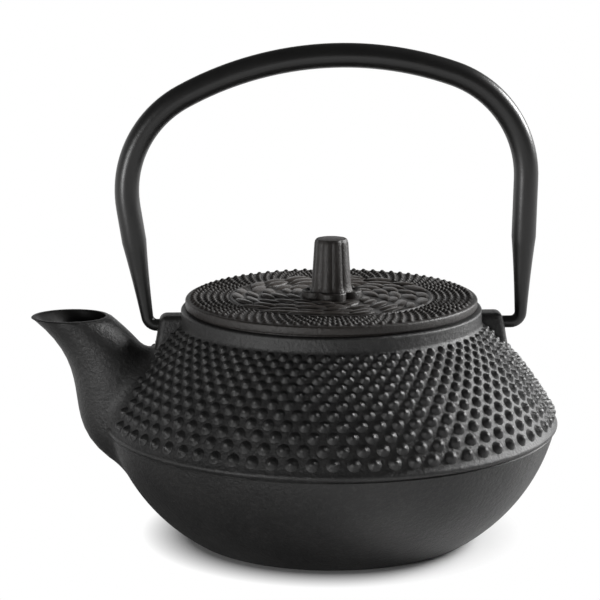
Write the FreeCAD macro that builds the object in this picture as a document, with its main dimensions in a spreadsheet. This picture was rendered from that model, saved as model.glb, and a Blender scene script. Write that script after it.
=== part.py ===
"""A small cast-iron teapot with a hobnail shoulder, a loose lid, an infuser and a swinging bow handle.

Millimetres. The origin is the middle of the flat base, +Z is up and the spout points to -X.
The handle swings about a line along X through the two ears of the pot.
"""
import FreeCAD
import Part
import math
import os
import re
import Sketcher
from FreeCAD import Vector

# Driving sizes. A height is measured from the table, a reach from the pot's upright axis.
SIZES = {
    # Pot: the bowl, its ridge, the sloping shoulder and the upright collar round the mouth
    "base_radius": 45.0,
    "base_round": 2.0,
    "bowl_arc_radius": 56.0,
    "ridge_radius": 71.0,
    "ridge_height": 35.6,
    "ridge_edge": 1.0,
    "ridge_step": 0.5,
    "shoulder_arc_radius": 136.0,
    "shoulder_height": 68.0,
    "collar_radius": 47.0,
    "collar_height": 4.3,
    "collar_wall": 4.4,
    "ledge_width": 3.0,
    "ledge_depth": 2.0,
    "pot_wall": 3.2,
    "pot_floor": 3.6,
    # Hobnails: how far the lowest row keeps from the ridge and the highest from the collar, level,
    # and a nail's height for each millimetre of its radius
    "nail_foot_margin": 2.0,
    "nail_top_margin": 3.0,
    "nail_rise": 0.75,
    # Spout: five level sections, from the root hidden in the bowl up to the lip
    "root_height": 21.0,
    "root_front": 63.4,
    "root_back": 42.0,
    "root_width": 25.0,
    "belly_height": 31.0,
    "belly_front": 75.8,
    "belly_back": 46.0,
    "belly_width": 27.0,
    "waist_height": 47.0,
    "waist_front": 80.2,
    "waist_back": 51.0,
    "waist_width": 26.0,
    "throat_height": 61.0,
    "throat_front": 85.1,
    "throat_back": 59.6,
    "throat_width": 23.0,
    "lip_height": 70.2,
    "lip_front": 93.7,
    "lip_back": 69.0,
    "lip_width": 21.8,
    "spout_wall": 2.6,
    "lip_wall": 1.8,
    # Ears: two lugs beside the collar, each with a blind hole for the handle's hook.
    # Their heights are counted from the shoulder's top edge.
    "ear_inner": 44.5,
    "ear_top_reach": 53.4,
    "ear_foot_reach": 56.2,
    "ear_foot_drop": 13.0,
    "ear_top_rise": 2.4,
    "ear_width": 9.0,
    "ear_round": 1.4,
    "pivot_drop": 1.0,
    "pivot_clearance": 0.35,
    # Handle: a tube rolled from sheet, its seam inside the bow, its ends drawn down to hooks
    "tube_radius": 3.8,
    "tube_wall": 0.9,
    "tube_seam": 0.6,
    "hook_radius": 1.9,
    "hook_bend_radius": 3.2,
    "hook_length": 8.6,
    "taper_length": 24.0,
    "front_leg_reach": 57.1,
    "front_leg_splay": 8.8,
    "front_bend_radius": 33.3,
    "rear_leg_reach": 59.4,
    "rear_leg_splay": 1.4,
    "rear_bend_radius": 34.0,
    "crown_radius": 103.5,
    "crown_rise": 83.9,
    "crown_shift": 3.5,
    # Lid: a flat plate with a seat that lies on the collar and a skirt that hangs in the infuser
    "lid_radius": 45.6,
    "lid_thickness": 3.0,
    "lid_shadow_gap": 0.5,
    "lid_seat_margin": 2.4,
    "lid_skirt_wall": 2.4,
    "lid_skirt_depth": 5.0,
    "lid_skirt_clearance": 0.8,
    # Knob, on a five-petalled seat, with its tang peened over a washer under the lid
    "petal_reach": 9.6,
    "petal_notch": 7.4,
    "petal_rim": 0.8,
    "petal_dish_radius": 4.0,
    "petal_dish_depth": 0.6,
    "seat_thickness": 2.2,
    "knob_height": 16.0,
    "knob_base_radius": 6.3,
    "knob_top_radius": 5.2,
    "flute_depth": 0.6,
    "tang_radius": 2.0,
    "tang_clearance": 0.1,
    "washer_radius": 5.0,
    "washer_thickness": 1.0,
    "peen_radius": 3.2,
    "peen_height": 1.2,
    # Infuser: a pressed rim, a mesh wall with a lap strip, a mesh floor and a pressed base ring
    "sheet": 0.8,
    "mesh": 0.6,
    "flange_clearance": 0.4,
    "mouth_clearance": 0.9,
    "joint_gap": 0.05,
    "sleeve_depth": 8.0,
    "infuser_depth": 43.0,
    "base_ring_height": 5.0,
    "base_ring_lip": 4.0,
    "lap_angle": 7.0,
}
PETALS = 5
FLUTES = 10
# The real shoulder has twice as many rows of nails; every second one keeps the solid light
NAIL_ROWS = 6
NAILS_ROUND = 72
NAIL_SHARE = 0.28
ENDS = {"front": -1, "rear": 1}

doc = FreeCAD.newDocument("teapot")
sizes = doc.addObject("Spreadsheet::Sheet", "sizes")
for row, (alias, amount) in enumerate(SIZES.items(), start=1):
    sizes.set(f"A{row}", alias)
    sizes.set(f"B{row}", str(amount))
    sizes.setAlias(f"B{row}", alias)
doc.recompute()


def number(text):
    """The present value of an expression in the sheet's aliases."""
    return float(sizes.evalExpression(text))


def tie(text):
    """The same expression as another object has to write it."""
    return re.sub(r"[a-z_]+", lambda found: "sizes." + found.group(), text)


def bind(thing, **properties):
    """Ties properties to the sheet; a double underscore in a name stands for a dot."""
    for name, text in properties.items():
        thing.setExpression(name.replace("__", "."), tie(text))
    return thing


def new_body(name):
    body = doc.addObject("PartDesign::Body", name)
    body.Label = name
    return body


def bowed(here, there, radius):
    """A round run between two points of a plane, which bulges to the right of the way."""
    half = (there - here) * 0.5
    rise = radius - math.sqrt(radius ** 2 - half.Length ** 2)
    outward = Vector(half.y, -half.x, 0).normalize()
    return Part.Arc(here, here + half + outward * rise, there)


def outline(body, name, corners):
    """A closed sketch on the body's XZ plane. A corner is x, z and, where the run after it is round,
    the radius of that run, which bulges to the right of the way from this corner to the next."""
    sketch = body.newObject("Sketcher::SketchObject", name)
    plane = next(item for item in body.Origin.OriginFeatures if item.Role == "XZ_Plane")
    sketch.AttachmentSupport = [(plane, "")]
    sketch.MapMode = "FlatFace"
    places = [Vector(number(corner[0]), number(corner[1]), 0) for corner in corners]
    starts = []
    for index, corner in enumerate(corners):
        here = places[index]
        there = places[(index + 1) % len(places)]
        run = Part.LineSegment(here, there)
        if len(corner) == 3:
            run = bowed(here, there, number(corner[2]))
        edge = sketch.addGeometry(run)
        starts.append(1 if (sketch.getPoint(edge, 1) - here).Length < 1e-6 else 2)

    def tie_sketch(label, text, *constraint):
        at = sketch.addConstraint(Sketcher.Constraint(*constraint, number(text)))
        sketch.renameConstraint(at, label)
        sketch.setExpression("Constraints." + label, tie(text))

    for index, corner in enumerate(corners):
        after = (index + 1) % len(corners)
        ends = (index, 3 - starts[index], after, starts[after])
        sketch.addConstraint(Sketcher.Constraint("Coincident", *ends))
        tie_sketch(f"x{index}", corner[0], "DistanceX", -1, 1, index, starts[index])
        tie_sketch(f"z{index}", corner[1], "DistanceY", -1, 1, index, starts[index])
        if len(corner) == 3:
            tie_sketch(f"bend{index}", corner[2], "Radius", index)
    return sketch


def turned(name, corners, angle="360"):
    """A body of revolution about the pot's upright axis."""
    body = new_body(name)
    sketch = outline(body, name + "_outline", corners)
    turn = body.newObject("PartDesign::Revolution", name + "_turn")
    turn.Profile = sketch
    turn.ReferenceAxis = (sketch, ["V_Axis"])
    return bind(turn, Angle=angle) and body


def ring(name, inner, outer, low, high, angle="360"):
    """A turned ring of rectangular section."""
    return turned(name, [(inner, low), (outer, low), (outer, high), (inner, high)], angle)


def solid_feature(name, shape):
    """A shape made in code from the sheet's values."""
    feature = doc.addObject("Part::Feature", name)
    feature.Shape = shape
    return feature


def boolean(kind, name, **links):
    feature = doc.addObject(kind, name)
    feature.Label = name
    for link, value in links.items():
        setattr(feature, link, value)
    return feature


# Heights that several pieces share
COLLAR_TOP = "shoulder_height + collar_height"
LEDGE_TOP = COLLAR_TOP + " - ledge_depth"
LID_UNDER = COLLAR_TOP + " + lid_shadow_gap"
LID_TOP = LID_UNDER + " + lid_thickness"
SEAT_TOP = LID_TOP + " + seat_thickness"
MOUTH = "collar_radius - collar_wall - ledge_width"
EAR_FOOT = "shoulder_height - ear_foot_drop"
EAR_TOP = "shoulder_height + ear_top_rise"
PIVOT = "shoulder_height - pivot_drop"
CROWN_TOP = PIVOT + " + crown_rise"
# Where the sloping shoulder starts, over the ridge
SLOPE_REACH = "ridge_radius - ridge_step"
SLOPE_FOOT = "ridge_height + ridge_edge + ridge_step"


def pot_solid():
    """The casting's outside, all filled in: bowl, ridge, shoulder and collar."""
    return turned("pot_outside", [
        ("0", "0"),
        ("base_radius - base_round", "0", "base_round * 3"),
        ("base_radius", "base_round * 0.3", "bowl_arc_radius"),
        ("ridge_radius", "ridge_height"),
        ("ridge_radius", "ridge_height + ridge_edge"),
        (SLOPE_REACH, SLOPE_FOOT, "shoulder_arc_radius"),
        ("collar_radius", "shoulder_height"),
        ("collar_radius", COLLAR_TOP),
        ("0", COLLAR_TOP),
    ])


def pot_hollow():
    """The space inside: the bowl's inside, the mouth and the ledge that carries the infuser."""
    neck_under = "shoulder_height - pot_wall * 0.75"
    above = COLLAR_TOP + " + pot_wall"
    return turned("pot_inside", [
        ("0", "pot_floor"),
        ("base_radius - pot_wall * 0.25", "pot_floor", "bowl_arc_radius - pot_wall"),
        ("ridge_radius - pot_wall", "ridge_height", "shoulder_arc_radius - pot_wall"),
        ("collar_radius - pot_wall * 0.6", neck_under),
        (MOUTH, neck_under),
        (MOUTH, LEDGE_TOP),
        ("collar_radius - collar_wall", LEDGE_TOP),
        ("collar_radius - collar_wall", above),
        ("0", above),
    ])


def level_oval(front, back, width, height):
    """A level oval across the spout, whose front is the side away from the pot."""
    stretch = FreeCAD.Matrix()
    stretch.scale((front - back) / 2, width / 2, 1)
    stretch.move(Vector(-(front + back) / 2, 0, height))
    round_wire = Part.Wire(Part.Circle(Vector(), Vector(0, 0, 1), 1).toShape())
    return round_wire.transformGeometry(stretch)


def spout_solid(name, stations, wall, lip_wall):
    """A smooth loft up the spout, drawn in by a wall where it is the bore."""
    sections = []
    for station in stations:
        inset = lip_wall if station == "lip" else wall
        front = number(station + "_front") - inset
        back = number(station + "_back") + inset
        width = number(station + "_width") - 2 * inset
        sections.append(level_oval(front, back, width, number(station + "_height")))
    loft = Part.makeLoft(sections, True)
    if lip_wall:
        # The bore runs on through the lip's plane
        mouth = max(loft.Faces, key=lambda face: face.CenterOfMass.z)
        loft = loft.fuse(mouth.extrude(Vector(0, 0, lip_wall)))
    return solid_feature(name, loft)


def ear_solid(end):
    """A lug that grows out of the shoulder and the collar, with its outer top edge rounded."""
    side = f"{ENDS[end]} * "
    body = new_body(end + "_ear")
    sketch = outline(body, end + "_ear_outline", [
        (side + "ear_inner", EAR_FOOT),
        (side + "ear_foot_reach", EAR_FOOT),
        (side + "ear_top_reach", EAR_TOP),
        (side + "ear_inner", EAR_TOP),
    ])
    pad = body.newObject("PartDesign::Pad", end + "_ear_pad")
    pad.Profile = sketch
    pad.SideType = "Symmetric"
    bind(pad, Length="ear_width")
    doc.recompute()
    rounded = []
    for index, edge in enumerate(pad.Shape.Edges, start=1):
        middle = edge.CenterOfMass
        upper = abs(middle.x) > number("ear_inner") + 1e-3 and middle.z > number(EAR_FOOT) + 1e-3
        if upper:
            rounded.append(f"Edge{index}")
    soft = body.newObject("PartDesign::Fillet", end + "_ear_round")
    soft.Base = (pad, rounded)
    bind(soft, Radius="ear_round")
    return body


def ear_hole(end):
    """The blind hole that the hook of this end turns in."""
    leg = end + "_leg_reach"
    hole = doc.addObject("Part::Cylinder", end + "_ear_hole")
    bind(hole, Radius="hook_radius + pivot_clearance", Height="hook_length + pivot_clearance")
    hole.Placement.Rotation = FreeCAD.Rotation(Vector(0, 1, 0), 90)
    start = f"{leg} - hook_length - pivot_clearance"
    if ENDS[end] < 0:
        start = f"-{leg}"
    return bind(hole, Placement__Base__x=start, Placement__Base__z=PIVOT)


def hobnails(spared):
    """Round-headed nails on the shoulder, in rows that close up and shrink as it narrows.
    None stands on the shapes to be spared, which are the spout and the ears."""
    foot = Vector(number(SLOPE_REACH), number(SLOPE_FOOT), 0)
    top = Vector(number("collar_radius"), number("shoulder_height"), 0)
    slope = bowed(foot, top, number("shoulder_arc_radius")).toShape().Curve
    first = number("ridge_radius - nail_foot_margin")
    last = number("collar_radius + nail_top_margin")
    nails = []
    for row in range(NAIL_ROWS):
        reach = first * (last / first) ** (row / (NAIL_ROWS - 1))
        across = reach - slope.Center.x
        height = slope.Center.y + math.sqrt(slope.Radius ** 2 - across ** 2)
        radius = NAIL_SHARE * 2 * math.pi * reach / NAILS_ROUND
        rise = number("nail_rise") * radius
        ball = (radius ** 2 + rise ** 2) / (2 * rise)
        nail = Part.makeSphere(ball, Vector(0, 0, rise - ball))
        nail.rotate(Vector(), Vector(0, 1, 0), math.degrees(math.asin(across / slope.Radius)))
        nail.translate(Vector(reach, 0, height))
        for step in range(NAILS_ROUND):
            turn = 360 / NAILS_ROUND * (step + 0.5)
            placed = nail.copy()
            placed.rotate(Vector(), Vector(0, 0, 1), turn)
            if not any(shape.BoundBox.intersect(placed.BoundBox) for shape in spared):
                nails.append(placed)
    return solid_feature("hobnails", Part.makeCompound(nails))


def pot_body():
    """One casting: the pot, its spout and its ears, less everything that is hollow in it, and its nails."""
    stations = ["root", "belly", "waist", "throat", "lip"]
    horn = spout_solid("spout_outside", stations, 0, 0)
    bore = spout_solid("spout_bore", stations[1:], number("spout_wall"), number("lip_wall"))
    ears = [ear_solid(end) for end in ENDS]
    hollows = [pot_hollow(), bore] + [ear_hole(end) for end in ENDS]
    outside = boolean("Part::MultiFuse", "casting", Shapes=[pot_solid(), horn, *ears])
    inside = boolean("Part::MultiFuse", "hollows", Shapes=hollows)
    plain = boolean("Part::Cut", "plain_pot", Base=outside, Tool=inside)
    doc.recompute()
    nails = hobnails([feature.Shape for feature in (horn, *ears)])
    return boolean("Part::MultiFuse", "pot_body", Shapes=[plain, nails])


class BowSide:
    """One half of the bow's centre line, in the bow's plane: u outwards from the axis, z up."""

    def __init__(self, end):
        self.side = ENDS[end]
        splay = math.radians(number(end + "_leg_splay"))
        bend = number(end + "_bend_radius")
        corner = Vector(number(end + "_leg_reach"), number(PIVOT), 0)
        self.up = Vector(math.sin(splay), math.cos(splay), 0)
        self.inward = Vector(-math.cos(splay), math.sin(splay), 0)
        hook_bend = number("hook_bend_radius")
        reach = hook_bend * math.tan((math.pi / 2 - splay) / 2)
        self.taper_foot = corner + self.up * reach
        self.taper_top = corner + self.up * (reach + number("taper_length"))
        bend_centre = self.taper_foot + self.inward * hook_bend
        self.hook_middle = bend_centre + (corner - bend_centre).normalize() * hook_bend
        self.hook_start = corner - Vector(reach, 0, 0)
        self.hook_end = corner - Vector(number("hook_length"), 0, 0)
        # The shoulder bend touches the leg and the crown's arc from inside
        crown = number("crown_radius")
        crown_centre = Vector(self.side * number("crown_shift"), number(CROWN_TOP) - crown, 0)
        away = corner + self.inward * bend - crown_centre
        along = away.dot(self.up)
        rise = math.sqrt(along ** 2 - away.Length ** 2 + (crown - bend) ** 2) - along
        centre = corner + self.up * rise + self.inward * bend
        outward = (centre - crown_centre).normalize()
        self.bend_foot = corner + self.up * rise
        self.bend_middle = centre + (outward - self.inward).normalize() * bend
        self.bend_top = centre + outward * bend

    def place(self, point):
        """A point of the bow's plane in the pot's frame."""
        return Vector(self.side * point.x, 0, point.y)

    def hook(self):
        """The drawn end: a cone, then a round hook bent inwards into the ear."""
        radius = number("hook_radius")
        foot, top = self.place(self.taper_foot), self.place(self.taper_top)
        cone = Part.makeCone(radius, number("tube_radius"), number("taper_length"), foot, top - foot)
        bend = Part.Arc(foot, self.place(self.hook_middle), self.place(self.hook_start))
        tip = Part.LineSegment(self.place(self.hook_start), self.place(self.hook_end))
        section = Part.Wire(Part.Circle(foot, top - foot, radius).toShape())
        rod = Part.Wire([bend.toShape(), tip.toShape()]).makePipeShell([section], True, False)
        return [cone, rod]


def seam_section(middle, inward, radius, wall, seam):
    """The rolled tube's section: a ring that is open at its seam, which faces inwards."""
    def at(distance, angle):
        return middle + inward * distance * math.cos(angle) + Vector(0, distance * math.sin(angle), 0)
    bore = radius - wall
    opening = seam / 2 / radius
    closing = 2 * math.pi - opening
    runs = [
        Part.Arc(at(radius, opening), at(radius, math.pi), at(radius, closing)),
        Part.LineSegment(at(radius, closing), at(bore, closing)),
        Part.Arc(at(bore, closing), at(bore, math.pi), at(bore, opening)),
        Part.LineSegment(at(bore, opening), at(radius, opening)),
    ]
    return Part.Wire([run.toShape() for run in runs])


def handle_bow():
    """The rolled tube along legs, bends and crown, closed at both ends by the drawn hooks."""
    front, rear = BowSide("front"), BowSide("rear")
    crown_peak = Vector(number("crown_shift"), 0, number(CROWN_TOP))
    runs = [
        Part.LineSegment(front.place(front.taper_top), front.place(front.bend_foot)),
        Part.Arc(front.place(front.bend_foot), front.place(front.bend_middle), front.place(front.bend_top)),
        Part.Arc(front.place(front.bend_top), crown_peak, rear.place(rear.bend_top)),
        Part.Arc(rear.place(rear.bend_top), rear.place(rear.bend_middle), rear.place(rear.bend_foot)),
        Part.LineSegment(rear.place(rear.bend_foot), rear.place(rear.taper_top)),
    ]
    path = Part.Wire([run.toShape() for run in runs])
    section = seam_section(front.place(front.taper_top), front.place(front.inward),
                           number("tube_radius"), number("tube_wall"), number("tube_seam"))
    tube = path.makePipeShell([section], True, False)
    bow = tube.fuse(front.hook() + rear.hook()).removeSplitter()
    return solid_feature("handle_bow", bow)


# Radii of the infuser's nested sleeves, from the mouth inwards
SLEEVE_OUTER = MOUTH + " - mouth_clearance"
SLEEVE_INNER = SLEEVE_OUTER + " - sheet"
WALL_OUTER = SLEEVE_INNER + " - joint_gap"
WALL_INNER = WALL_OUTER + " - mesh"
INFUSER_FOOT = LEDGE_TOP + " - infuser_depth"
FLOOR_UNDER = INFUSER_FOOT + " + mesh"
SLEEVE_FOOT = LEDGE_TOP + " - sleeve_depth"


def infuser():
    """A basket that hangs by its flange on the pot's ledge."""
    flange_edge = "collar_radius - collar_wall - flange_clearance"
    flange_top = LEDGE_TOP + " + sheet"
    base_ring_outer = WALL_OUTER + " + joint_gap + mesh"
    turned("infuser_rim", [
        (SLEEVE_INNER, SLEEVE_FOOT),
        (SLEEVE_OUTER, SLEEVE_FOOT),
        (SLEEVE_OUTER, LEDGE_TOP),
        (flange_edge, LEDGE_TOP),
        (flange_edge, flange_top),
        (SLEEVE_INNER, flange_top),
    ])
    ring("infuser_wall", WALL_INNER, WALL_OUTER, FLOOR_UNDER, LEDGE_TOP)
    turned("infuser_base_ring", [
        (WALL_INNER + " - base_ring_lip", INFUSER_FOOT),
        (base_ring_outer, INFUSER_FOOT),
        (base_ring_outer, INFUSER_FOOT + " + base_ring_height"),
        (WALL_OUTER + " + joint_gap", INFUSER_FOOT + " + base_ring_height"),
        (WALL_OUTER + " + joint_gap", FLOOR_UNDER),
        (WALL_INNER + " - base_ring_lip", FLOOR_UNDER),
    ])
    floor_edge = WALL_INNER + " - joint_gap"
    turned("infuser_floor", [
        ("0", FLOOR_UNDER),
        (floor_edge, FLOOR_UNDER),
        (floor_edge, FLOOR_UNDER + " + mesh"),
        ("0", FLOOR_UNDER + " + mesh"),
    ])
    # The lap strip covers the mesh's joint between the base ring and the rim's sleeve
    strip_low = INFUSER_FOOT + " + base_ring_height + joint_gap"
    strip_high = SLEEVE_FOOT + " - joint_gap"
    strip = (WALL_OUTER + " + joint_gap", WALL_OUTER + " + joint_gap + mesh", strip_low, strip_high)
    return ring("infuser_lap_strip", *strip, angle="lap_angle")


def lid_plate():
    """The cast lid, with its seat and skirt, drilled in the middle for the knob's tang."""
    skirt_outer = WALL_INNER + " - lid_skirt_clearance"
    skirt_inner = skirt_outer + " - lid_skirt_wall"
    seat_edge = "collar_radius - lid_seat_margin"
    drill = "tang_radius + tang_clearance"
    return turned("lid_plate", [
        (drill, LID_UNDER),
        (skirt_inner, LID_UNDER),
        (skirt_inner, COLLAR_TOP + " - lid_skirt_depth"),
        (skirt_outer, COLLAR_TOP + " - lid_skirt_depth"),
        (skirt_outer, COLLAR_TOP),
        (seat_edge, COLLAR_TOP),
        (seat_edge, LID_UNDER),
        ("lid_radius", LID_UNDER),
        ("lid_radius", LID_TOP),
        (drill, LID_TOP),
    ])


def lobed_wire(lobes, reach, notch, height, turn=0.0):
    """A ring of outward arcs that reach the outer radius and meet at the notch radius."""
    def at(distance, step):
        angle = turn + 2 * math.pi * step / lobes
        return Vector(distance * math.cos(angle), distance * math.sin(angle), height)
    arcs = [Part.Arc(at(notch, step - 0.5), at(reach, step), at(notch, step + 0.5)) for step in range(lobes)]
    return Part.Wire([arc.toShape() for arc in arcs])


def knob_seat():
    """A washer in the shape of a plum flower, each petal dished, with one petal to the front."""
    low, thick = number(LID_TOP), number("seat_thickness")
    to_front = -math.pi / 2
    flower = Part.Face(lobed_wire(PETALS, number("petal_reach"), number("petal_notch"), low, to_front))
    seat = flower.extrude(Vector(0, 0, thick))
    dish, depth = number("petal_dish_radius"), number("petal_dish_depth")
    for petal in range(PETALS):
        angle = to_front + 2 * math.pi * petal / PETALS
        reach = number("petal_reach - petal_rim") - math.sqrt(2 * dish * depth - depth ** 2)
        middle = Vector(reach * math.cos(angle), reach * math.sin(angle), low + thick + dish - depth)
        seat = seat.cut(Part.makeSphere(dish, middle))
    bore = Part.makeCylinder(number("tang_radius + tang_clearance"), thick, Vector(0, 0, low))
    return solid_feature("knob_seat", seat.cut(bore))


def lid_knob():
    """A fluted, slightly tapered knob on a round tang, whose end is peened over the washer."""
    foot, top = number(SEAT_TOP), number(SEAT_TOP + " + knob_height")
    base, head, flute = number("knob_base_radius"), number("knob_top_radius"), number("flute_depth")
    rings = [lobed_wire(FLUTES, base, base - flute, foot), lobed_wire(FLUTES, head, head - flute, top)]
    peen_top = number(LID_UNDER + " - washer_thickness")
    tang = Part.makeCylinder(number("tang_radius"), foot - peen_top, Vector(0, 0, peen_top))
    peen_low = peen_top - number("peen_height")
    peen_foot = Vector(0, 0, peen_low)
    peen = Part.makeCone(number("tang_radius"), number("peen_radius"), number("peen_height"), peen_foot)
    knob = Part.makeLoft(rings, True, True).fuse([tang, peen]).removeSplitter()
    return solid_feature("lid_knob", knob)


def knob_washer():
    """The steel washer that the tang is peened over."""
    low = LID_UNDER + " - washer_thickness"
    return ring("knob_washer", "tang_radius + tang_clearance", "washer_radius", low, LID_UNDER)


pot_body()
handle_bow()
infuser()
lid_plate()
knob_seat()
lid_knob()
knob_washer()
doc.recompute()

NODES = [
    "pot_body", "handle_bow",
    "infuser_rim", "infuser_wall", "infuser_base_ring", "infuser_floor", "infuser_lap_strip",
    "lid_plate", "knob_seat", "lid_knob", "knob_washer",
]
for item in doc.Objects:
    if "Invalid" in item.State or "Error" in item.State:
        raise RuntimeError(f"{item.Name} did not build: {item.State}")
pieces = {item.Label: item for item in doc.Objects if item.Label in NODES}
for node in NODES:
    shape = pieces[node].Shape
    if shape.isNull() or not shape.isValid() or len(shape.Solids) != 1:
        raise RuntimeError(f"{node} is not one valid solid")
    print(f"{node}: {shape.Volume / 1000:.2f} cm3")
os.makedirs("parts", exist_ok=True)
for node in NODES:
    pieces[node].Shape.exportStep(f"parts/{node}.step")
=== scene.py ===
"""Looks of a small cast-iron teapot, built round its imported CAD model. Metres, in the CAD model's frame."""
import bmesh
import bpy
import math
import random
from mathutils import Matrix, Vector


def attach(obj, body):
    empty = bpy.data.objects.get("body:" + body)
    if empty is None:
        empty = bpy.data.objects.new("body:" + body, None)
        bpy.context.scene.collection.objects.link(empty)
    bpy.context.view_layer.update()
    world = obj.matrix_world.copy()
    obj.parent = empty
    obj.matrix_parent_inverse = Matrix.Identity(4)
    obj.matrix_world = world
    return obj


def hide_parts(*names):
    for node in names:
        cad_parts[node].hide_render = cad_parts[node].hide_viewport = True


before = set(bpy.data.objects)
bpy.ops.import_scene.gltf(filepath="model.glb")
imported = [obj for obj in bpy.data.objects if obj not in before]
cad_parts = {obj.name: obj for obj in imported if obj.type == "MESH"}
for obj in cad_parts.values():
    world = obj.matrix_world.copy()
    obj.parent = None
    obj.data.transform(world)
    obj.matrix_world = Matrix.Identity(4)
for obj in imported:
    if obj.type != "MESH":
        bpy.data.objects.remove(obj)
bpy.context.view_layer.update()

# Pot casting: one piece of sand-cast iron. Bowl, ridge, hobnail shoulder, collar, spout and the two ears
# come out of the same mould, and the outside is baked black while the inside has a smooth enamel.
# Sizes are in millimetres, and MM turns them into the scene's metres
MM = 0.001
WALL = 3.2
POT_FLOOR = 3.6
BASE = 45.0
RIDGE = 71.0
COLLAR = 47.0
COLLAR_TOP = 72.3
MOUTH = 39.6
MOUTH_FOOT = 65.6
REBATE = 42.6
LEDGE = 70.3
BOWL_BEND = 56.0
SHOULDER_FOOT = (70.45, 37.2)
SHOULDER_TOP = (47.5, 67.4)
SHOULDER_BEND = 136.0


def bow(start, end, radius, steps):
    """The points after start on a round run to end, which bulges to the right of the way."""
    start, end = Vector(start), Vector(end)
    half = (end - start) / 2
    right = Vector((half.y, -half.x)).normalized()
    centre = start + half - right * math.sqrt(radius ** 2 - half.length ** 2)
    turn = 2 * math.asin(half.length / radius)
    return [centre + Matrix.Rotation(turn * step / steps, 2) @ (start - centre)
            for step in range(1, steps + 1)]


def pot_outside():
    """Half the outside's outline, from the middle of the base up to the collar's rim."""
    run = [Vector((0, 0)), Vector((BASE - 2, 0))]
    run += bow(run[-1], (BASE, 0.6), 6, 3)
    run += bow(run[-1], (RIDGE - 1, 34.5), BOWL_BEND, 26)
    # A fine crease under the rounded ridge
    run += [Vector((69.75, 34.85)), Vector((70.1, 35.1)), Vector((70.7, 35.5))]
    run += bow(run[-1], (RIDGE, 36.4), 0.9, 3)
    run += bow(run[-1], SHOULDER_FOOT, 1.6, 3)
    run += bow(run[-1], SHOULDER_TOP, SHOULDER_BEND, 24)
    # The collar rises out of a small hollow and has a rounded rim
    edge = 0.7
    run += [Vector((COLLAR + 0.15, 67.85)), Vector((COLLAR, 68.5)), Vector((COLLAR, COLLAR_TOP - edge))]
    run += bow(run[-1], (COLLAR - edge, COLLAR_TOP), edge, 4)
    return run


def pot_inside(wall):
    """Half the inside's outline, from the middle of the floor up past the ledge in the mouth."""
    run = [Vector((0, POT_FLOOR)), Vector((BASE - wall / 4, POT_FLOOR))]
    run += bow(run[-1], (RIDGE - wall, 35.6), BOWL_BEND - wall, 16)
    run += bow(run[-1], (COLLAR - wall * 0.6, MOUTH_FOOT), SHOULDER_BEND - wall, 12)
    edge = 0.3
    run += [Vector((MOUTH + edge, MOUTH_FOOT)), Vector((MOUTH, MOUTH_FOOT + edge))]
    run += [Vector((MOUTH, LEDGE - edge)), Vector((MOUTH + edge, LEDGE)), Vector((REBATE, LEDGE))]
    run += [Vector((REBATE, COLLAR_TOP - 0.4)), Vector((REBATE + 0.4, COLLAR_TOP))]
    return run


def add_mesh(mesh, other):
    """Puts another mesh into this one and lets go of it."""
    data = bpy.data.meshes.new("part")
    other.to_mesh(data)
    other.free()
    mesh.from_mesh(data)
    bpy.data.meshes.remove(data)


# Steps round the axis, for the casting and for what is cut out of it; one sector is spun and repeated
ROUND_STEPS = 256
CUTTER_STEPS = 128
SECTORS = 8


def repeat_round(mesh, copies):
    """Repeats all that a mesh holds in even steps round the upright axis."""
    step = 2 * math.pi / copies
    bmesh.ops.spin(mesh, geom=mesh.verts[:] + mesh.edges[:] + mesh.faces[:], cent=(0, 0, 0), axis=(0, 0, 1),
                   dvec=(0, 0, 0), angle=2 * math.pi - step, steps=copies - 1,
                   use_merge=False, use_duplicate=True)


def turn_outline(mesh, outline, steps, surface=0):
    """Spins an outline of radius and height, in millimetres, round the upright axis, sector by sector."""
    sector = bmesh.new()
    corners = [sector.verts.new((point[0] * MM, 0, point[1] * MM)) for point in outline]
    edges = [sector.edges.new(pair) for pair in zip(corners, corners[1:])]
    bmesh.ops.spin(sector, geom=corners + edges, cent=(0, 0, 0), axis=(0, 0, 1), dvec=(0, 0, 0),
                   angle=2 * math.pi / SECTORS, steps=steps // SECTORS,
                   use_merge=False, use_duplicate=False)
    for face in sector.faces:
        face.material_index = surface
    repeat_round(sector, SECTORS)
    add_mesh(mesh, sector)


def close_up(mesh):
    """Welds what a spin left apart and turns the faces outwards."""
    bmesh.ops.remove_doubles(mesh, verts=mesh.verts, dist=0.001 * MM)
    bmesh.ops.recalc_face_normals(mesh, faces=mesh.faces)


def turned_solid(outline, steps, surface=0):
    mesh = bmesh.new()
    turn_outline(mesh, outline, steps, surface)
    close_up(mesh)
    return mesh


def as_object(name, mesh):
    data = bpy.data.meshes.new(name)
    mesh.to_mesh(data)
    mesh.free()
    piece = bpy.data.objects.new(name, data)
    bpy.context.scene.collection.objects.link(piece)
    return piece


def cut_away(mesh, *cutters):
    """The mesh less the cutters, which stay as they are."""
    block = as_object("block", mesh)
    spent = [block]
    for cutter in cutters:
        tool = as_object("tool", cutter.copy())
        spent.append(tool)
        cut = block.modifiers.new("cut", "BOOLEAN")
        cut.operation = "DIFFERENCE"
        cut.solver = "EXACT"
        cut.object = tool
    data = bpy.data.meshes.new_from_object(block.evaluated_get(bpy.context.evaluated_depsgraph_get()))
    left = bmesh.new()
    left.from_mesh(data)
    bpy.data.meshes.remove(data)
    for thing in spent:
        bpy.data.meshes.remove(thing.data)
    return left


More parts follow.
